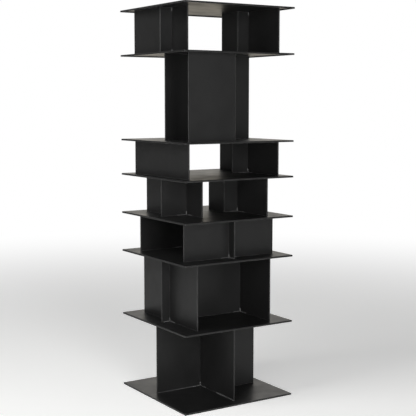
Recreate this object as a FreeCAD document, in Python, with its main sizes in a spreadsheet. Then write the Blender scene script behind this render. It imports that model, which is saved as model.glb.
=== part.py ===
import FreeCAD, Part
import os
import re
import Sketcher

# A tower bookcase in black steel: eight square plates, carried one above another by upright sheets.
# Millimetres, +Z up. The origin is the centre of the base plate's underside.
# The front is -Y and the left is -X. Tiers and shelves are counted from the floor.
# The base is a thick flat plate. Every plate above it is a pan folded from thinner sheet, with a lip
# turned down all round. The uprights stand on one plate and meet the sheet of the next.
# Most tiers are alike about the tower's axis, so half of each is drawn and made again half a turn round.

SIZES = {
    "plate_side": (600, "side of every square plate"),
    "corner_round": (2, "radius of a plate's four corners in plan"),
    "base_thickness": (8, "solid plate on the floor"),
    "pan_depth": (8, "outside depth of a pan, from its top face to the lip's lower edge"),
    "pan_sheet": (3, "sheet that the pans are folded from"),
    "fold_round": (2, "outside radius of a pan's fold"),
    "panel_thickness": (6, "sheet of the uprights"),
    "edge_break": (1, "chamfer on the free edges of uprights and base"),
    "rim_inset": (50, "from a plate's edge to the uprights' outermost faces and ends"),
    "tier1_rise": (360, "top of the base to the top of shelf 1"),
    "tier2_rise": (317, "top of shelf 1 to the top of shelf 2"),
    "tier3_rise": (189, "top of shelf 2 to the top of shelf 3"),
    "tier4_rise": (189, "top of shelf 3 to the top of shelf 4"),
    "tier5_rise": (168, "top of shelf 4 to the top of shelf 5"),
    "tier6_rise": (405, "top of shelf 5 to the top of shelf 6"),
    "tier7_rise": (212, "top of shelf 6 to the top of the tower"),
    "fin_offset": (50, "tier 1: middle of each fin from the centre line"),
    "spine_overhang": (44, "tiers 2 and 3: length of spine outside each side"),
    "lap_gap": (0.2, "clearance all round in a half lap"),
    "tier4_cross_run": (145, "tier 4: length of each cross panel"),
    "tier4_half_inset": (62, "tier 4: cross panel's outer end to the half panel's outer face"),
    "short_reach": (140, "tiers 4 and 7: reach of the short panels from the centre line"),
    "fin_reach": (92, "tier 5: length of each fin"),
    "wing_inset": (24, "tier 6: left end of the wing, in from the left end of the front panel"),
    "tier7_cross_run": (68, "tier 7: length of each cross panel"),
    "weld_leg": (4, "leg of a weld bead"),
    "weld_run": (18, "height of the bead at each end of an inner corner"),
    "foot_stitch_run": (150, "length of the bead along each end of the tier 1 spine"),
    "cut_overrun": (5, "how far a cut runs past the sheet it goes through"),
}

TIERS = 7
HALF_TURN = 2
BACK_RIGHT, BACK_LEFT, FRONT_LEFT, FRONT_RIGHT = range(4)
REACH = "plate_side / 2 - rim_inset"
UP = FreeCAD.Vector(0, 0, 1)

doc = FreeCAD.newDocument("TowerBookcase")
sheet = doc.addObject("Spreadsheet::Sheet", "Sizes")
nodes = []


def fill_sheet():
    for row, (name, (value, meaning)) in enumerate(SIZES.items(), start=1):
        sheet.set(f"A{row}", name)
        sheet.set(f"B{row}", str(value))
        sheet.set(f"C{row}", meaning)
        sheet.setAlias(f"B{row}", name)
    doc.recompute()


def in_sheet(formula):
    """Every word in a formula is a named size."""
    return re.sub(r"[a-z]\w*", r"Sizes.\g<0>", formula)


def bind(thing, place, formula):
    thing.setExpression(place, in_sheet(formula))


def value(formula):
    return float(sheet.evalExpression(in_sheet(formula)))


def level(tier):
    """Height of the plate that a tier stands on, at its top face."""
    return " + ".join(["base_thickness"] + [f"tier{below}_rise" for below in range(1, tier)])


def turned(x, y, quarters):
    """A place in plan, moved round the tower's axis by quarter turns."""
    for _ in range(quarters % 4):
        x, y = f"-({y})", x
    return x, y


def settle(thing, x, y, z):
    bind(thing, "Placement.Base.x", x)
    bind(thing, "Placement.Base.y", y)
    bind(thing, "Placement.Base.z", z)


def new_body(label):
    body = doc.addObject("PartDesign::Body", label)
    body.Label = label
    nodes.append(body)
    return body


def rectangle(body, name, plane, wide, deep, left, low):
    """A sketched rectangle on one of the body's own planes, held by its lower left corner."""
    sketch = body.newObject("Sketcher::SketchObject", name)
    support = next(item for item in body.Origin.OriginFeatures if item.Role == plane)
    sketch.AttachmentSupport = [(support, "")]
    sketch.MapMode = "FlatFace"
    x0, y0 = value(left), value(low)
    x1, y1 = x0 + value(wide), y0 + value(deep)
    corners = [FreeCAD.Vector(x, y, 0) for x, y in ((x0, y0), (x1, y0), (x1, y1), (x0, y1))]
    for here, there in zip(corners, corners[1:] + corners[:1]):
        sketch.addGeometry(Part.LineSegment(here, there), False)
    for side in range(4):
        sketch.addConstraint(Sketcher.Constraint("Coincident", side, 2, (side + 1) % 4, 1))
    for side, lie in enumerate(("Horizontal", "Vertical", "Horizontal", "Vertical")):
        sketch.addConstraint(Sketcher.Constraint(lie, side))
    for title, kind, first, second, formula in (
        ("wide", "DistanceX", (0, 1), (0, 2), wide),
        ("deep", "DistanceY", (1, 1), (1, 2), deep),
        ("left", "DistanceX", (-1, 1), (0, 1), left),
        ("low", "DistanceY", (-1, 1), (0, 1), low),
    ):
        rule = sketch.addConstraint(Sketcher.Constraint(kind, *first, *second, value(formula)))
        sketch.renameConstraint(rule, title)
        bind(sketch, f"Constraints.{title}", formula)
    return sketch


def pad(body, name, sketch, depth, side_type="One side"):
    feature = body.newObject("PartDesign::Pad", name)
    feature.Profile = sketch
    feature.SideType = side_type
    bind(feature, "Length", depth)
    doc.recompute()
    return feature


def pocket(body, name, sketch, depth, side_type, reverse=False):
    before = body.Shape.Volume
    feature = body.newObject("PartDesign::Pocket", name)
    feature.Profile = sketch
    feature.SideType = side_type
    feature.Reversed = reverse
    bind(feature, "Length", depth)
    doc.recompute()
    if not feature.Shape.Volume < before:
        raise RuntimeError(f"{name} removed nothing")
    return feature


def dress(kind, body, name, feature, wanted, amount):
    """Fillet or chamfer the edges that the wanted test picks by middle point and direction."""
    picked = []
    for number, edge in enumerate(feature.Shape.Edges, start=1):
        middle = edge.valueAt((edge.FirstParameter + edge.LastParameter) / 2)
        along = edge.tangentAt(edge.FirstParameter)
        if wanted(middle, along):
            picked.append(f"Edge{number}")
    dressed = body.newObject(f"PartDesign::{kind}", name)
    dressed.Base = (feature, picked)
    bind(dressed, "Radius" if kind == "Fillet" else "Size", amount)
    doc.recompute()
    return dressed


def upright_edge(middle, along):
    return abs(along.z) > abs(along.x) + abs(along.y)


def plate_blank(body, thickness, kind, upper_edge):
    """A square plate with rounded corners and a dressed upper edge."""
    half = "-plate_side / 2"
    outline = rectangle(body, f"{body.Label}_outline", "XY_Plane", "plate_side", "plate_side", half, half)
    blank = pad(body, f"{body.Label}_blank", outline, thickness)
    cornered = dress("Fillet", body, f"{body.Label}_corners", blank, upright_edge, "corner_round")
    top = value(thickness)
    on_top = lambda middle, along: middle.z > top - value(upper_edge) and not upright_edge(middle, along)
    return dress(kind, body, f"{body.Label}_upper_edge", cornered, on_top, upper_edge)


def base_plate():
    body = new_body("base_plate")
    plate_blank(body, "base_thickness", "Chamfer", "edge_break")


def pan(label, top):
    """A folded plate: the sheet on top, and a lip down all four sides."""
    body = new_body(label)
    plate_blank(body, "pan_depth", "Fillet", "fold_round")
    inside = "plate_side - 2 * pan_sheet"
    corner = "pan_sheet - plate_side / 2"
    hollow = rectangle(body, f"{label}_hollow_outline", "XY_Plane", inside, inside, corner, corner)
    pocket(body, f"{label}_hollow", hollow, "pan_depth - pan_sheet", "One side", reverse=True)
    settle(body, "0", "0", f"{top} - pan_depth")


def upright(label, tier, start, run, quarters, lap=None):
    """A standing sheet. Its middle plane leaves start and runs on by run, along +X turned by quarters.

    A lap is (side, places): the side that is slotted, and where along the run a like sheet crosses.
    """
    height = f"tier{tier}_rise - pan_sheet"
    body = new_body(label)
    outline = rectangle(body, f"{label}_outline", "XZ_Plane", run, height, "0", "0")
    last = pad(body, f"{label}_blank", outline, "panel_thickness", "Symmetric")
    if lap:
        side, places = lap
        slot_width = "panel_thickness + 2 * lap_gap"
        slot_depth = f"({height}) / 2 + lap_gap + cut_overrun"
        slot_low = "-cut_overrun" if side == "bottom" else f"({height}) / 2 - lap_gap"
        for number, place in enumerate(places, start=1):
            slot_left = f"{place} - panel_thickness / 2 - lap_gap"
            name = f"{label}_slot_{number}"
            slot = rectangle(body, f"{name}_outline", "XZ_Plane", slot_width, slot_depth, slot_left, slot_low)
            last = pocket(body, name, slot, "panel_thickness + 2 * cut_overrun", "Symmetric")
    far, near_enough = value(run), value("edge_break")
    at_end = lambda middle, along: (
        upright_edge(middle, along) and min(abs(middle.x), abs(middle.x - far)) < near_enough
    )
    dress("Chamfer", body, f"{label}_free_edges", last, at_end, "edge_break")
    body.Placement.Rotation = FreeCAD.Rotation(UP, 90 * quarters)
    settle(body, *start, level(tier))


def bead(name, place, height, along, out, run):
    """A quarter-round weld bead in a square corner, from place along its run; out is one of its legs."""
    rod = doc.addObject("Part::Cylinder", name)
    rod.Label = name
    rod.Angle = 90
    bind(rod, "Radius", "weld_leg")
    bind(rod, "Height", run)
    rod.Placement.Rotation = FreeCAD.Rotation(out, along.cross(out), along, "ZXY")
    settle(rod, *place, height)
    return rod


def corner_beads(tier, corners):
    """Beads at the foot and the head of each inner corner. A corner is (x, y, quarter it opens to)."""
    beads = []
    for number, (x, y, quarter) in enumerate(corners, start=1):
        out = FreeCAD.Rotation(UP, 90 * quarter).multVec(FreeCAD.Vector(1, 0, 0))
        head = f"{level(tier)} + tier{tier}_rise - pan_sheet - weld_run"
        name = f"tier{tier}_corner_{number}"
        beads.append(bead(f"{name}_foot", (x, y), level(tier), UP, out, "weld_run"))
        beads.append(bead(f"{name}_head", (x, y), head, UP, out, "weld_run"))
    return beads


def weld_group(tier, beads):
    group = doc.addObject("Part::Compound", f"tier{tier}_welds")
    group.Label = f"tier{tier}_welds"
    group.Links = beads
    nodes.append(group)


def turned_corners(corners, quarters):
    return [(*turned(x, y, quarters), quarter + quarters) for x, y, quarter in corners]


def fin_tier(tier):
    """A spine from front to back, and a fin on each side of it, set off from the centre line."""
    upright(f"tier{tier}_spine", tier, ("0", f"-({REACH})"), f"2 * ({REACH})", 1)
    corners = []
    beads = []
    half_corners = [
        ("-panel_thickness / 2", "fin_offset + panel_thickness / 2", BACK_LEFT),
        ("-panel_thickness / 2", "fin_offset - panel_thickness / 2", FRONT_LEFT),
    ]
    for side, quarters in (("left", 0), ("right", HALF_TURN)):
        start = turned(f"-({REACH})", "fin_offset", quarters)
        upright(f"tier{tier}_{side}_fin", tier, start, f"{REACH} - panel_thickness / 2", quarters)
        corners += turned_corners(half_corners, quarters)
        turn = FreeCAD.Rotation(UP, 90 * quarters)
        end = turned("-panel_thickness / 2", f"-({REACH})", quarters)
        along = turn.multVec(FreeCAD.Vector(0, 1, 0))
        out = turn.multVec(FreeCAD.Vector(-1, 0, 0))
        beads.append(bead(f"tier{tier}_{side}_stitch", end, level(tier), along, out, "foot_stitch_run"))
    weld_group(tier, beads + corner_beads(tier, corners))


def lapped_tier(tier, quarters, sides):
    """Two sides half lapped over a spine that runs on past both of them."""
    from_end = "spine_overhang + panel_thickness / 2"
    laps = [from_end, f"2 * ({REACH}) - {from_end.replace('+', '-')}"]
    spine_start = turned(f"-({REACH})", "0", quarters)
    upright(f"tier{tier}_spine", tier, spine_start, f"2 * ({REACH})", quarters, ("top", laps))
    side_x = f"-({REACH}) + {from_end}"
    left, right = f"{side_x} - panel_thickness / 2", f"{side_x} + panel_thickness / 2"
    back, front = "panel_thickness / 2", "-panel_thickness / 2"
    half_corners = [
        (right, back, BACK_RIGHT),
        (left, back, BACK_LEFT),
        (left, front, FRONT_LEFT),
        (right, front, FRONT_RIGHT),
    ]
    corners = []
    for side, more in zip(sides, (0, HALF_TURN)):
        start = turned(side_x, f"-({REACH})", quarters + more)
        upright(f"tier{tier}_{side}_side", tier, start, f"2 * ({REACH})", quarters + more + 1, ("bottom", [REACH]))
        corners += turned_corners(half_corners, quarters + more)
    weld_group(tier, corner_beads(tier, corners))


def crank_tier(tier, cross_run, half_inset):
    """On each side a crank in plan: a half panel, a cross panel and a short panel the other way."""
    half_x = f"-({REACH}) + {half_inset} + panel_thickness / 2"
    short_x = f"-({REACH}) + {cross_run} - panel_thickness / 2"
    half_corners = [
        (f"{half_x} + panel_thickness / 2", "panel_thickness / 2", BACK_RIGHT),
        (f"{short_x} - panel_thickness / 2", "-panel_thickness / 2", FRONT_LEFT),
    ]
    if half_inset != "0":
        half_corners.append((f"{half_x} - panel_thickness / 2", "panel_thickness / 2", BACK_LEFT))
    corners = []
    for side, quarters in (("left", 0), ("right", HALF_TURN)):
        name = f"tier{tier}_{side}"
        upright(f"{name}_cross", tier, turned(f"-({REACH})", "0", quarters), cross_run, quarters)
        half_start = turned(half_x, "panel_thickness / 2", quarters)
        upright(f"{name}_half", tier, half_start, f"{REACH} - panel_thickness / 2", quarters + 1)
        short_start = turned(short_x, "-short_reach", quarters)
        upright(f"{name}_short", tier, short_start, "short_reach - panel_thickness / 2", quarters + 1)
        corners += turned_corners(half_corners, quarters)
    weld_group(tier, corner_beads(tier, corners))


def open_tier(tier):
    """Two full sides, each with a fin that reaches in from its middle."""
    side_x = f"-({REACH}) + panel_thickness / 2"
    fin_x = f"-({REACH}) + panel_thickness"
    half_corners = [
        (fin_x, "panel_thickness / 2", BACK_RIGHT),
        (fin_x, "-panel_thickness / 2", FRONT_RIGHT),
    ]
    corners = []
    for side, quarters in (("left", 0), ("right", HALF_TURN)):
        start = turned(side_x, f"-({REACH})", quarters)
        upright(f"tier{tier}_{side}_side", tier, start, f"2 * ({REACH})", quarters + 1)
        upright(f"tier{tier}_{side}_fin", tier, turned(fin_x, "0", quarters), "fin_reach", quarters)
        corners += turned_corners(half_corners, quarters)
    weld_group(tier, corner_beads(tier, corners))


def corner_tier(tier):
    """A front panel from the left end, a wing across the middle and a spine behind the wing."""
    front_start = (f"-({REACH})", f"-({REACH}) + panel_thickness / 2")
    front_run = f"{REACH} + panel_thickness / 2"
    upright(f"tier{tier}_front", tier, front_start, front_run, 0)
    upright(f"tier{tier}_wing", tier, (f"-({REACH}) + wing_inset", "0"), f"2 * ({REACH}) - wing_inset", 0)
    upright(f"tier{tier}_spine", tier, ("0", "panel_thickness / 2"), f"{REACH} - panel_thickness / 2", 1)
    corners = [
        ("-panel_thickness / 2", "panel_thickness / 2", BACK_LEFT),
        ("panel_thickness / 2", "panel_thickness / 2", BACK_RIGHT),
    ]
    foot = (f"-({REACH})", f"-({REACH}) + panel_thickness")
    along, out = FreeCAD.Vector(1, 0, 0), FreeCAD.Vector(0, 1, 0)
    beads = [bead(f"tier{tier}_front_foot", foot, level(tier), along, out, front_run)]
    weld_group(tier, beads + corner_beads(tier, corners))


def check_and_export():
    doc.recompute()
    for item in doc.Objects:
        if "Invalid" in item.State or "Error" in item.State:
            raise RuntimeError(f"{item.Label} did not recompute: {item.State}")
    for node in nodes:
        if node.Shape.isNull() or not node.Shape.isValid():
            raise RuntimeError(f"{node.Label} has no valid shape")
    os.makedirs("parts", exist_ok=True)
    for node in nodes:
        node.Shape.exportStep(f"parts/{node.Label}.step")
    print(len(nodes), "nodes,", sum(len(node.Shape.Solids) for node in nodes), "solids")


fill_sheet()
base_plate()
for tier in range(1, TIERS):
    pan(f"shelf_{tier}", level(tier + 1))
pan("top_plate", level(TIERS + 1))
fin_tier(1)
lapped_tier(2, 0, ("left", "right"))
lapped_tier(3, 1, ("front", "back"))
crank_tier(4, "tier4_cross_run", "tier4_half_inset")
open_tier(5)
corner_tier(6)
crank_tier(7, "tier7_cross_run", "0")
check_and_export()
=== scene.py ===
import bmesh
import bpy
import math
import random
from mathutils import Matrix, Vector


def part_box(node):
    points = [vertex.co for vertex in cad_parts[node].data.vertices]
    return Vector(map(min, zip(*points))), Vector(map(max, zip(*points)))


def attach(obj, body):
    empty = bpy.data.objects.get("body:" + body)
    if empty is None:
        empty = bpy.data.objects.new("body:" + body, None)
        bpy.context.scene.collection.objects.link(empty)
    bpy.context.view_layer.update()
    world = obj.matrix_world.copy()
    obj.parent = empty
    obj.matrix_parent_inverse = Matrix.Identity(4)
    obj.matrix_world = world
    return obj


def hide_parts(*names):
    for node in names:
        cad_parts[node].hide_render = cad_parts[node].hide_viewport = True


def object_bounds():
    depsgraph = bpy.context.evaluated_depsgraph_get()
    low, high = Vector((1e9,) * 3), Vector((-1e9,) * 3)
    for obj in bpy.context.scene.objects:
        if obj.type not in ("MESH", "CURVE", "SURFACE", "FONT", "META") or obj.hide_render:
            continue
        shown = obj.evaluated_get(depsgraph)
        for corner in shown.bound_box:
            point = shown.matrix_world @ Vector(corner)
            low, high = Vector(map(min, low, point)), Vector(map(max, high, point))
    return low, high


# A tower bookcase in satin black powder-coated steel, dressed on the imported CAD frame.
# Metres, +Z up. The front is -Y, the left is -X, and tiers and shelves count from the floor.

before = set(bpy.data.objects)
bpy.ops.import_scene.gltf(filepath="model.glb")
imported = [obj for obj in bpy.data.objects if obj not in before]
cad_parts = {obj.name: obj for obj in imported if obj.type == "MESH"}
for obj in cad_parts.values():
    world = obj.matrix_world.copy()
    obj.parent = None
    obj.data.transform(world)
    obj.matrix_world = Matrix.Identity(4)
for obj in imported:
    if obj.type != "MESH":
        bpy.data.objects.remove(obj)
cadLow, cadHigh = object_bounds()
middle = (cadLow + cadHigh) / 2
up = Vector((0, 0, 1))
tierCount = 7
print("frame:", len(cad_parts), "nodes")


def hexColour(code):
    # '#rrggbb' as sRGB, turned to the linear values that shaders take
    channels = [int(code[at:at + 2], 16) / 255 for at in (1, 3, 5)]
    linear = [c / 12.92 if c <= 0.04045 else ((c + 0.055) / 1.055) ** 2.4 for c in channels]
    return (*linear, 1.0)


def addNode(tree, kind, inputs=None, **settings):
    # An input is a plain value, or (node, output) to link it. A Mix node's colours are its inputs 6 and 7
    # and its output 2.
    node = tree.nodes.new(kind)
    for name, value in settings.items():
        setattr(node, name, value)
    for name, value in (inputs or {}).items():
        if isinstance(value, tuple) and isinstance(value[0], bpy.types.Node):
            tree.links.new(value[0].outputs[value[1]], node.inputs[name])
        else:
            node.inputs[name].default_value = value
    return node


def newMaterial(name):
    material = bpy.data.materials.new(name)
    material.use_nodes = True
    material.node_tree.nodes.clear()
    return material, material.node_tree


# The camera stands where the photograph was taken from.

camera = {
    "lens": 84.16,  # mm
    "sensorWidth": 36,  # mm
    "place": (-2.510, -3.9484, 1.4087),
    "heading": 57.43,  # degrees from +X towards +Y
    "tiltDown": 6.21,  # degrees
}


def makeCamera(settings):
    data = bpy.data.cameras.new("camera")
    data.lens = settings["lens"]
    data.sensor_width = settings["sensorWidth"]
    eye = bpy.data.objects.new("camera", data)
    bpy.context.scene.collection.objects.link(eye)
    eye.location = settings["place"]
    # An unturned camera looks straight down with its top towards +Y, so 90 degrees bring it level.
    tilt = math.radians(90 - settings["tiltDown"])
    eye.rotation_euler = (tilt, 0, math.radians(settings["heading"] - 90))
    bpy.context.scene.camera = eye


makeCamera(camera)
bpy.context.scene.view_settings.view_transform = "Standard"
print("camera placed")

# A plain studio: a pale floor, a white backdrop behind the tower, and soft light mostly from the front
# and the left. How squarely a direction points behind the tower is its dot product with "behind".

studio = {
    "white": "#ffffff",
    "whiteStrength": 1.0,  # the backdrop and the far floor
    "fill": 0.06,  # faint light from all round
    "darkSide": 0.0,  # the rest of the room, as gloss sees it
    "behind": (0.54, 0.84, 0.0),  # the way that the camera looks, but level
    "backdropWithin": (0.45, 0.88),  # how squarely behind the tower the backdrop starts and is full
    "warmWhite": "#fff6e4",  # what gloss sees low down behind the tower
    "warmWithin": (0.7, 0.95),  # how squarely behind the tower the warmth starts and is full
    "warmBelow": (0.12, 0.35),  # sines of the heights between which the warmth ends
    "floorColour": "#f6f6f4",
    "floorRadius": 7.0,
    "floorSides": 96,
    "glossLift": 0.3,  # what the pale floor gains in the gloss, beside the lamps' own light on it
    "glossFade": (2.2, 6.0),  # metres behind the tower over which the floor turns white in the gloss
    "cameraLift": 0.38,  # what it gains for the camera
    "cameraFade": (1.2, 6.0),  # metres out on every side over which it turns white for the camera
}

# Softboxes round the tower. Azimuth turns from the front towards the right, size is width and height
# in metres, and power is in watts.
softboxes = {
    "keySoftbox": {"azimuth": -12, "distance": 5.2, "height": 1.6, "size": (1.8, 2.6), "power": 149},
    "sideSoftbox": {"azimuth": -57, "distance": 5.2, "height": 1.6, "size": (3.2, 2.6), "power": 84},
    "leftSoftbox": {"azimuth": -90, "distance": 3.2, "height": 3.4, "size": (2.0, 2.0), "power": 71},
    "rightSoftbox": {"azimuth": 36, "distance": 5.2, "height": 1.6, "size": (1.6, 2.6), "power": 7},
}


def seenRays(tree):
    # 1 for the rays that show the background: camera, gloss and glass
    path = addNode(tree, "ShaderNodeLightPath")
    either = addNode(tree, "ShaderNodeMath", {
        0: (path, "Is Camera Ray"), 1: (path, "Is Glossy Ray")}, operation="MAXIMUM")
    return addNode(tree, "ShaderNodeMath", {
        0: (either, 0), 1: (path, "Is Transmission Ray")}, operation="MAXIMUM")


def glossTint(tree, squareness, lowness, settings):
    # White, but warmer for gloss that looks low and squarely behind the tower
    start, full = settings["warmWithin"]
    square = addNode(tree, "ShaderNodeMapRange", {
        "Value": squareness, "From Min": start, "From Max": full}, interpolation_type="SMOOTHSTEP")
    path = addNode(tree, "ShaderNodeLightPath")
    gloss = addNode(tree, "ShaderNodeMath", {
        0: (square, "Result"), 1: (path, "Is Glossy Ray")}, operation="MULTIPLY")
    warmth = addNode(tree, "ShaderNodeMath", {0: (gloss, 0), 1: lowness}, operation="MULTIPLY")
    return addNode(tree, "ShaderNodeMix", {
        "Factor": (warmth, 0), 6: hexColour(settings["white"]), 7: hexColour(settings["warmWhite"])},
        data_type="RGBA")


def makeWorld(settings):
    world = bpy.data.worlds.new("softRoom")
    bpy.context.scene.world = world
    world.use_nodes = True
    tree = world.node_tree
    tree.nodes.clear()
    path = addNode(tree, "ShaderNodeLightPath")
    look = addNode(tree, "ShaderNodeTexCoord")
    squareness = addNode(tree, "ShaderNodeVectorMath", {
        0: (look, "Generated"), 1: settings["behind"]}, operation="DOT_PRODUCT")
    start, full = settings["backdropWithin"]
    room = addNode(tree, "ShaderNodeMapRange", {
        "Value": (squareness, "Value"), "From Min": start, "From Max": full,
        "To Min": settings["darkSide"], "To Max": settings["whiteStrength"]},
        interpolation_type="SMOOTHSTEP")
    background = addNode(tree, "ShaderNodeMix", {
        "Factor": (path, "Is Camera Ray"), "A": (room, "Result"), "B": settings["whiteStrength"]})
    strength = addNode(tree, "ShaderNodeMix", {
        "Factor": (seenRays(tree), 0), "A": settings["fill"], "B": (background, "Result")})
    height = addNode(tree, "ShaderNodeSeparateXYZ", {"Vector": (look, "Generated")})
    warmTo, warmEnd = settings["warmBelow"]
    lowness = addNode(tree, "ShaderNodeMapRange", {
        "Value": (height, "Z"), "From Min": warmTo, "From Max": warmEnd, "To Min": 1.0, "To Max": 0.0},
        interpolation_type="SMOOTHSTEP")
    tint = glossTint(tree, (squareness, "Value"), (lowness, "Result"), settings)
    light = addNode(tree, "ShaderNodeBackground", {"Color": (tint, 2), "Strength": (strength, "Result")})
    addNode(tree, "ShaderNodeOutputWorld", {"Surface": (light, "Background")})


def floorPaint(settings):
    # Matt white paint, clean, so only the soft shadow shows on it. The floor turns white far off:
    # on every side for the camera, but only behind the tower for gloss.
    material, tree = newMaterial("paintedStudioFloor")
    place = addNode(tree, "ShaderNodeTexCoord")
    path = addNode(tree, "ShaderNodeLightPath")
    seen = seenRays(tree)
    behind = addNode(tree, "ShaderNodeVectorMath", {
        0: (place, "Object"), 1: settings["behind"]}, operation="DOT_PRODUCT")
    start, full = settings["glossFade"]
    glossFade = addNode(tree, "ShaderNodeMapRange", {
        "Value": (behind, "Value"), "From Min": start, "From Max": full},
        interpolation_type="SMOOTHSTEP")
    around = addNode(tree, "ShaderNodeVectorMath", {0: (place, "Object")}, operation="LENGTH")
    start, full = settings["cameraFade"]
    cameraFade = addNode(tree, "ShaderNodeMapRange", {
        "Value": (around, "Value"), "From Min": start, "From Max": full},
        interpolation_type="SMOOTHSTEP")
    fade = addNode(tree, "ShaderNodeMix", {
        "Factor": (path, "Is Camera Ray"), "A": (glossFade, "Result"), "B": (cameraFade, "Result")})
    fadeSeen = addNode(tree, "ShaderNodeMath", {
        0: (seen, 0), 1: (fade, "Result")}, operation="MULTIPLY")
    lift = addNode(tree, "ShaderNodeMix", {
        "Factor": (path, "Is Camera Ray"), "A": settings["glossLift"], "B": settings["cameraLift"]})
    liftSeen = addNode(tree, "ShaderNodeMath", {
        0: (seen, 0), 1: (lift, "Result")}, operation="MULTIPLY")
    paint = addNode(tree, "ShaderNodeBsdfDiffuse", {"Color": hexColour(settings["floorColour"])})
    glow = addNode(tree, "ShaderNodeEmission", {
        "Color": hexColour(settings["white"]), "Strength": (liftSeen, 0)})
    near = addNode(tree, "ShaderNodeAddShader", {0: (paint, 0), 1: (glow, 0)})
    heading = addNode(tree, "ShaderNodeVectorMath", {0: (place, "Object")}, operation="NORMALIZE")
    squareness = addNode(tree, "ShaderNodeVectorMath", {
        0: (heading, 0), 1: settings["behind"]}, operation="DOT_PRODUCT")
    tint = glossTint(tree, (squareness, "Value"), 1.0, settings)  # the floor is low all over
    far = addNode(tree, "ShaderNodeEmission", {
        "Color": (tint, 2), "Strength": settings["whiteStrength"]})
    both = addNode(tree, "ShaderNodeMixShader", {0: (fadeSeen, 0), 1: (near, 0), 2: (far, 0)})
    addNode(tree, "ShaderNodeOutputMaterial", {"Surface": (both, 0)})
    return material


def makeFloor(settings):
    sheet = bmesh.new()
    bmesh.ops.create_circle(sheet, cap_ends=True, segments=settings["floorSides"],
                            radius=settings["floorRadius"])
    mesh = bpy.data.meshes.new("studioFloor")
    sheet.to_mesh(mesh)
    sheet.free()
    mesh.materials.append(floorPaint(settings))
    floor = bpy.data.objects.new("studioFloor", mesh)
    bpy.context.scene.collection.objects.link(floor)


def makeSoftbox(name, settings):
    data = bpy.data.lights.new(name, "AREA")
    data.shape = "RECTANGLE"
    data.size, data.size_y = settings["size"]
    data.energy = settings["power"]
    lamp = bpy.data.objects.new(name, data)
    bpy.context.scene.collection.objects.link(lamp)
    turn = math.radians(settings["azimuth"])
    away = settings["distance"]
    lamp.location = (away * math.sin(turn), -away * math.cos(turn), settings["height"])
    lamp.rotation_euler = (middle - lamp.location).to_track_quat("-Z", "Y").to_euler()
    lamp.visible_camera = False


makeWorld(studio)
makeFloor(studio)
for name, settings in softboxes.items():
    makeSoftbox(name, settings)
print("studio lit")

# One satin black powder coat covers everything: the plates, the uprights and the weld beads, which carry
# a painted highlight in a paler colour.

coat = {
    "black": "#1e1e1e",
    "blackCloudy": "#1b1b1b",
    "roughness": (0.38, 0.45),
    "specular": 0.35,
    "ior": 1.5,
    "patternRange": (0.35, 0.65),  # noise values between which clouds and drifts change the coat
    "cloud": {"size": 0.16, "detail": 3.0, "roughness": 0.55},  # metres, thicker and thinner powder
    "drift": {"size": 0.07, "detail": 2.0, "roughness": 0.5},  # metres, glossier and duller patches
    "driftRoughness": 0.03,  # what a drift adds to the coat's roughness or takes from it
    # The edges' paler colour is partly rubbed wear and partly a painted highlight where light catches
    # them.
    "wornEdgeHighlight": "#4d4d4d",
    "wornEdgeHighlightRoughness": 0.6,
    "wornEdgeHighlightWidth": 0.003,  # metres either side of a free edge
    "wornEdgeHighlightTurn": (0.995, 0.93),  # cosines of the normal's turn at which the wear and painted highlight start and are full
    "bevelSamples": 8,
    "scuff": {"size": 0.03, "detail": 4.0, "roughness": 0.6},  # metres, breaks up the paler edges, worn and with a painted highlight
    "scuffRange": (0.35, 0.6),  # noise values between which the edge wear and painted highlight come and go
    "scuffLeast": 0.25,  # share of the edge wear and painted highlight that is left between the scuffs
    # Real orange peel is 2 to 3 mm across. It is drawn coarser, so that it shows in the render.
    "peel": {"size": 0.006, "detail": 1.0, "roughness": 0.5},
    "peelDepth": 0.00006,
}

# On a bead the powder flows out over the ripples and looks glossier. Its paler colour is a painted
# highlight.
beadCoatPaintedHighlight = {
    **coat,
    "black": "#5a5a5a",
    "blackCloudy": "#464646",
    "roughness": (0.22, 0.28),
    "specular": 0.5,
    "wornEdgeHighlightWidth": 0.0005,
    "peel": {**coat["peel"], "size": 0.003},
}


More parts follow.
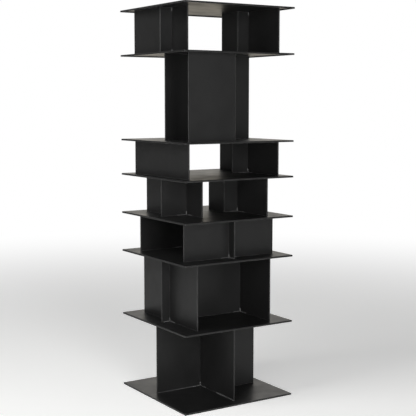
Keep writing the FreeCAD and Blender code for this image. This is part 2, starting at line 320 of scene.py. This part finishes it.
def powderCoat(name, settings):
    # Polyester powder, sprayed and baked on steel: near black, with a broad soft sheen, a faint orange
    # peel, clouds and patches of slightly different gloss, and edges rubbed by hands, with a painted
    # highlight on them.
    material, tree = newMaterial(name)
    place = addNode(tree, "ShaderNodeTexCoord")
    noise = {}
    for pattern in ("cloud", "drift", "scuff", "peel"):
        noise[pattern] = addNode(tree, "ShaderNodeTexNoise", {
            "Vector": (place, "Object"), "Scale": 1 / settings[pattern]["size"],
            "Detail": settings[pattern]["detail"], "Roughness": settings[pattern]["roughness"]})
    start, full = settings["patternRange"]
    tone = addNode(tree, "ShaderNodeMapRange", {
        "Value": (noise["cloud"], 0), "From Min": start, "From Max": full},
        interpolation_type="SMOOTHSTEP")
    black = addNode(tree, "ShaderNodeMix", {
        "Factor": (tone, "Result"),
        6: hexColour(settings["blackCloudy"]), 7: hexColour(settings["black"])}, data_type="RGBA")
    gloss = addNode(tree, "ShaderNodeMapRange", {
        "Value": (noise["cloud"], 0), "From Min": start, "From Max": full,
        "To Min": settings["roughness"][0], "To Max": settings["roughness"][1]})
    patch = addNode(tree, "ShaderNodeMapRange", {
        "Value": (noise["drift"], 0), "From Min": start, "From Max": full,
        "To Min": -settings["driftRoughness"], "To Max": settings["driftRoughness"]})
    uneven = addNode(tree, "ShaderNodeMath", {
        0: (gloss, "Result"), 1: (patch, "Result")}, operation="ADD")
    # The bevelled normal leaves the true one only beside an edge, where wear and a painted highlight pale
    # the coat.
    rounded = addNode(tree, "ShaderNodeBevel", {"Radius": settings["wornEdgeHighlightWidth"]},
                      samples=settings["bevelSamples"])
    flat = addNode(tree, "ShaderNodeNewGeometry")
    turned = addNode(tree, "ShaderNodeVectorMath", {
        0: (rounded, 0), 1: (flat, "Normal")}, operation="DOT_PRODUCT")
    start, full = settings["wornEdgeHighlightTurn"]
    edge = addNode(tree, "ShaderNodeMapRange", {
        "Value": (turned, "Value"), "From Min": start, "From Max": full, "To Min": 0.0, "To Max": 1.0})
    start, full = settings["scuffRange"]
    scuffed = addNode(tree, "ShaderNodeMapRange", {
        "Value": (noise["scuff"], 0), "From Min": start, "From Max": full,
        "To Min": settings["scuffLeast"], "To Max": 1.0})
    wornEdgeHighlight = addNode(tree, "ShaderNodeMath", {
        0: (edge, "Result"), 1: (scuffed, "Result")}, operation="MULTIPLY")
    colour = addNode(tree, "ShaderNodeMix", {
        "Factor": (wornEdgeHighlight, 0), 6: (black, 2), 7: hexColour(settings["wornEdgeHighlight"])}, data_type="RGBA")
    dulled = addNode(tree, "ShaderNodeMix", {
        "Factor": (wornEdgeHighlight, 0), "A": (uneven, 0), "B": settings["wornEdgeHighlightRoughness"]})
    bump = addNode(tree, "ShaderNodeBump", {
        "Height": (noise["peel"], 0), "Distance": settings["peelDepth"], "Strength": 1.0})
    shader = addNode(tree, "ShaderNodeBsdfPrincipled", {
        "Base Color": (colour, 2), "Roughness": (dulled, 0), "Normal": (bump, "Normal"),
        "IOR": settings["ior"], "Specular IOR Level": settings["specular"]})
    addNode(tree, "ShaderNodeOutputMaterial", {"Surface": (shader, "BSDF")})
    return material


plateCoat = powderCoat("satinPowderCoatPlates", coat)
uprightCoat = powderCoat("satinPowderCoatUprights", coat)
weldCoat = powderCoat("satinPowderCoatWelds", beadCoatPaintedHighlight)


def dressNodes():
    for name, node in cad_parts.items():
        if name.endswith("_welds"):
            continue  # makeWelds puts a piece in its place
        finish = uprightCoat if name.startswith("tier") else plateCoat
        node.data.materials.clear()
        node.data.materials.append(finish)


dressNodes()
print("finishes made")

# Short weld beads hold the uprights together. The coat runs over them.

weld = {
    "leg": 0.004,
    "run": 0.018,  # height of the bead at each end of an inner corner
    "footLeg": 0.0035,
    "footRun": (0.032, 0.058),  # along both feet of an inner corner, or to the sheet's end
    "stitchRun": 0.150,  # along the lowest spine's foot, left from its front and right from its back
    "seamLeg": 0.002,  # the thin seam along the foot of each fin on the floor plate
    "ripple": 0.0016,  # metres from one ripple to the next
    "rippleDepth": 0.12,  # share of the leg
    "rippleCurve": 0.7,  # under 1, so the ripples are broad and the dips between them narrow
    "endShare": 0.55,  # thickness of a bead at its very ends, as a share of the leg
    "endSlope": 0.5,  # how steeply it thickens from there
    "sides": 32,  # of the whole round that a bead is a quarter of
    "stepsPerRipple": 4,
    "leastSteps": 8,
    "seedsPerTier": 100,  # more than a tier has beads, so that each bead has its own
}


def makeBead(work, corner, legOne, legTwo, run, leg, settings, seed):
    # A rippled quarter round between legOne and legTwo, which runs from the corner along legOne x legTwo
    steps = max(settings["leastSteps"], round(run / settings["ripple"] * settings["stepsPerRipple"]))
    part = bmesh.new()
    bmesh.ops.create_cone(part, cap_ends=True, segments=settings["sides"],
                          radius1=leg, radius2=leg, depth=run)
    lengthwise = [e for e in part.edges if abs(e.verts[0].co.z - e.verts[1].co.z) > run / 2]
    bmesh.ops.subdivide_edges(part, edges=lengthwise, cuts=steps - 1, use_grid_fill=True)
    phase = random.Random(seed).uniform(0, 1)
    for vert in part.verts:
        travelled = vert.co.z + run / 2
        wave = abs(math.sin(math.pi * (travelled / settings["ripple"] + phase)))
        toEnd = min(travelled, run - travelled)
        taper = min(1, settings["endShare"] + settings["endSlope"] * toEnd / leg)
        swell = taper * (1 - settings["rippleDepth"] * (1 - wave ** settings["rippleCurve"]))
        vert.co.x *= swell
        vert.co.y *= swell
    for side in (Vector((1, 0, 0)), Vector((0, 1, 0))):
        bmesh.ops.bisect_plane(part, geom=part.verts[:] + part.edges[:] + part.faces[:],
                               plane_co=(0, 0, 0), plane_no=side, clear_inner=True)
        bmesh.ops.holes_fill(part, edges=[e for e in part.edges if e.is_boundary])
    along = legOne.cross(legTwo)
    turn = Matrix((legOne, legTwo, along)).transposed().to_4x4()
    place = Matrix.Translation(corner + along * run / 2) @ turn
    bmesh.ops.transform(part, matrix=place, verts=part.verts)
    mesh = bpy.data.meshes.new("bead")
    part.to_mesh(mesh)
    part.free()
    work.from_mesh(mesh)
    bpy.data.meshes.remove(mesh)


def innerCorners(tier, leg):
    # Where a sheet along X and a sheet along Y meet, each corner that both of them run past:
    # its foot, each sheet's way out of it with the room there, and its top
    alongX, alongY = [], []
    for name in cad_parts:
        if name.startswith(f"tier{tier}_") and not name.endswith("_welds"):
            low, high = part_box(name)
            (alongX if high.x - low.x > high.y - low.y else alongY).append((low, high))
    corners = []
    for lowOne, highOne in alongX:
        for lowTwo, highTwo in alongY:
            waysX = (highTwo.x, 1, highOne.x - highTwo.x), (lowTwo.x, -1, lowTwo.x - lowOne.x)
            waysY = (highOne.y, 1, highTwo.y - highOne.y), (lowOne.y, -1, lowOne.y - lowTwo.y)
            for x, signX, roomX in waysX:
                for y, signY, roomY in waysY:
                    touchX = lowOne.x - leg < x < highOne.x + leg
                    touchY = lowTwo.y - leg < y < highTwo.y + leg
                    if touchX and touchY and roomX > leg and roomY > leg:
                        legs = (Vector((signX, 0, 0)), roomX), (Vector((0, signY, 0)), roomY)
                        corners.append((Vector((x, y, lowOne.z)), *legs, highOne.z))
    return corners


def footBead(sheet, out, run, leg):
    # A bead along a sheet's foot on its side towards out, from the end where out x up runs inwards.
    # With no run it is as long as the sheet, which then lies along X.
    low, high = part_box(sheet)
    end = out - out.cross(up)
    start = Vector((high.x if end.x > 0 else low.x, high.y if end.y > 0 else low.y, low.z))
    return start, out, up, run or high.x - low.x, leg


def tierBeads(tier, settings):
    # Each bead of a tier: its corner point, its two legs' ways, its run and its legs' size
    rng = random.Random(tier * settings["seedsPerTier"])
    leg = settings["leg"]
    beads = []
    for foot, (legOne, roomOne), (legTwo, roomTwo), top in innerCorners(tier, leg):
        if legOne.cross(legTwo).z < 0:
            legOne, legTwo, roomOne, roomTwo = legTwo, legOne, roomTwo, roomOne
        head = Vector((foot.x, foot.y, top - settings["run"]))
        for start in (foot, head):
            beads.append((start, legOne, legTwo, settings["run"], leg))
        # legOne x legTwo is up, so legTwo x up is legOne, and up x legOne is legTwo
        for out, rise, room in ((legTwo, up, roomOne), (up, legOne, roomTwo)):
            run = min(rng.uniform(*settings["footRun"]), room)
            beads.append((foot, out, rise, run, settings["footLeg"]))
    if tier == 1:
        beads.append(footBead("tier1_spine", Vector((-1, 0, 0)), settings["stitchRun"], leg))
        beads.append(footBead("tier1_spine", Vector((1, 0, 0)), settings["stitchRun"], leg))
        beads.append(footBead("tier1_left_fin", Vector((0, -1, 0)), None, settings["seamLeg"]))
        beads.append(footBead("tier1_right_fin", Vector((0, 1, 0)), None, settings["seamLeg"]))
    if tier == 6:
        beads.append(footBead("tier6_front", Vector((0, 1, 0)), None, leg))
    return beads


def makeWelds(tier, settings):
    work = bmesh.new()
    for count, bead in enumerate(tierBeads(tier, settings)):
        makeBead(work, *bead, settings, tier * settings["seedsPerTier"] + count)
    bmesh.ops.recalc_face_normals(work, faces=work.faces)
    mesh = bpy.data.meshes.new(f"tier{tier}_weldBeads")
    work.to_mesh(mesh)
    work.free()
    mesh.shade_smooth()
    mesh.materials.append(weldCoat)
    piece = bpy.data.objects.new(f"tier{tier}_weldBeads", mesh)
    bpy.context.scene.collection.objects.link(piece)
    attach(piece, "root")
    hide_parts(f"tier{tier}_welds")
    low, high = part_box(f"tier{tier}_welds")
    own = [vert.co for vert in mesh.vertices]
    past = [max(max(c[i] for c in own) - high[i], low[i] - min(c[i] for c in own)) for i in range(3)]
    pastMm = round(max(past) * 1000, 2)
    print(f"tier {tier} welds:", len(mesh.polygons), "faces, at most", pastMm, "mm past the node's box")


for tier in range(1, tierCount + 1):
    makeWelds(tier, weld)
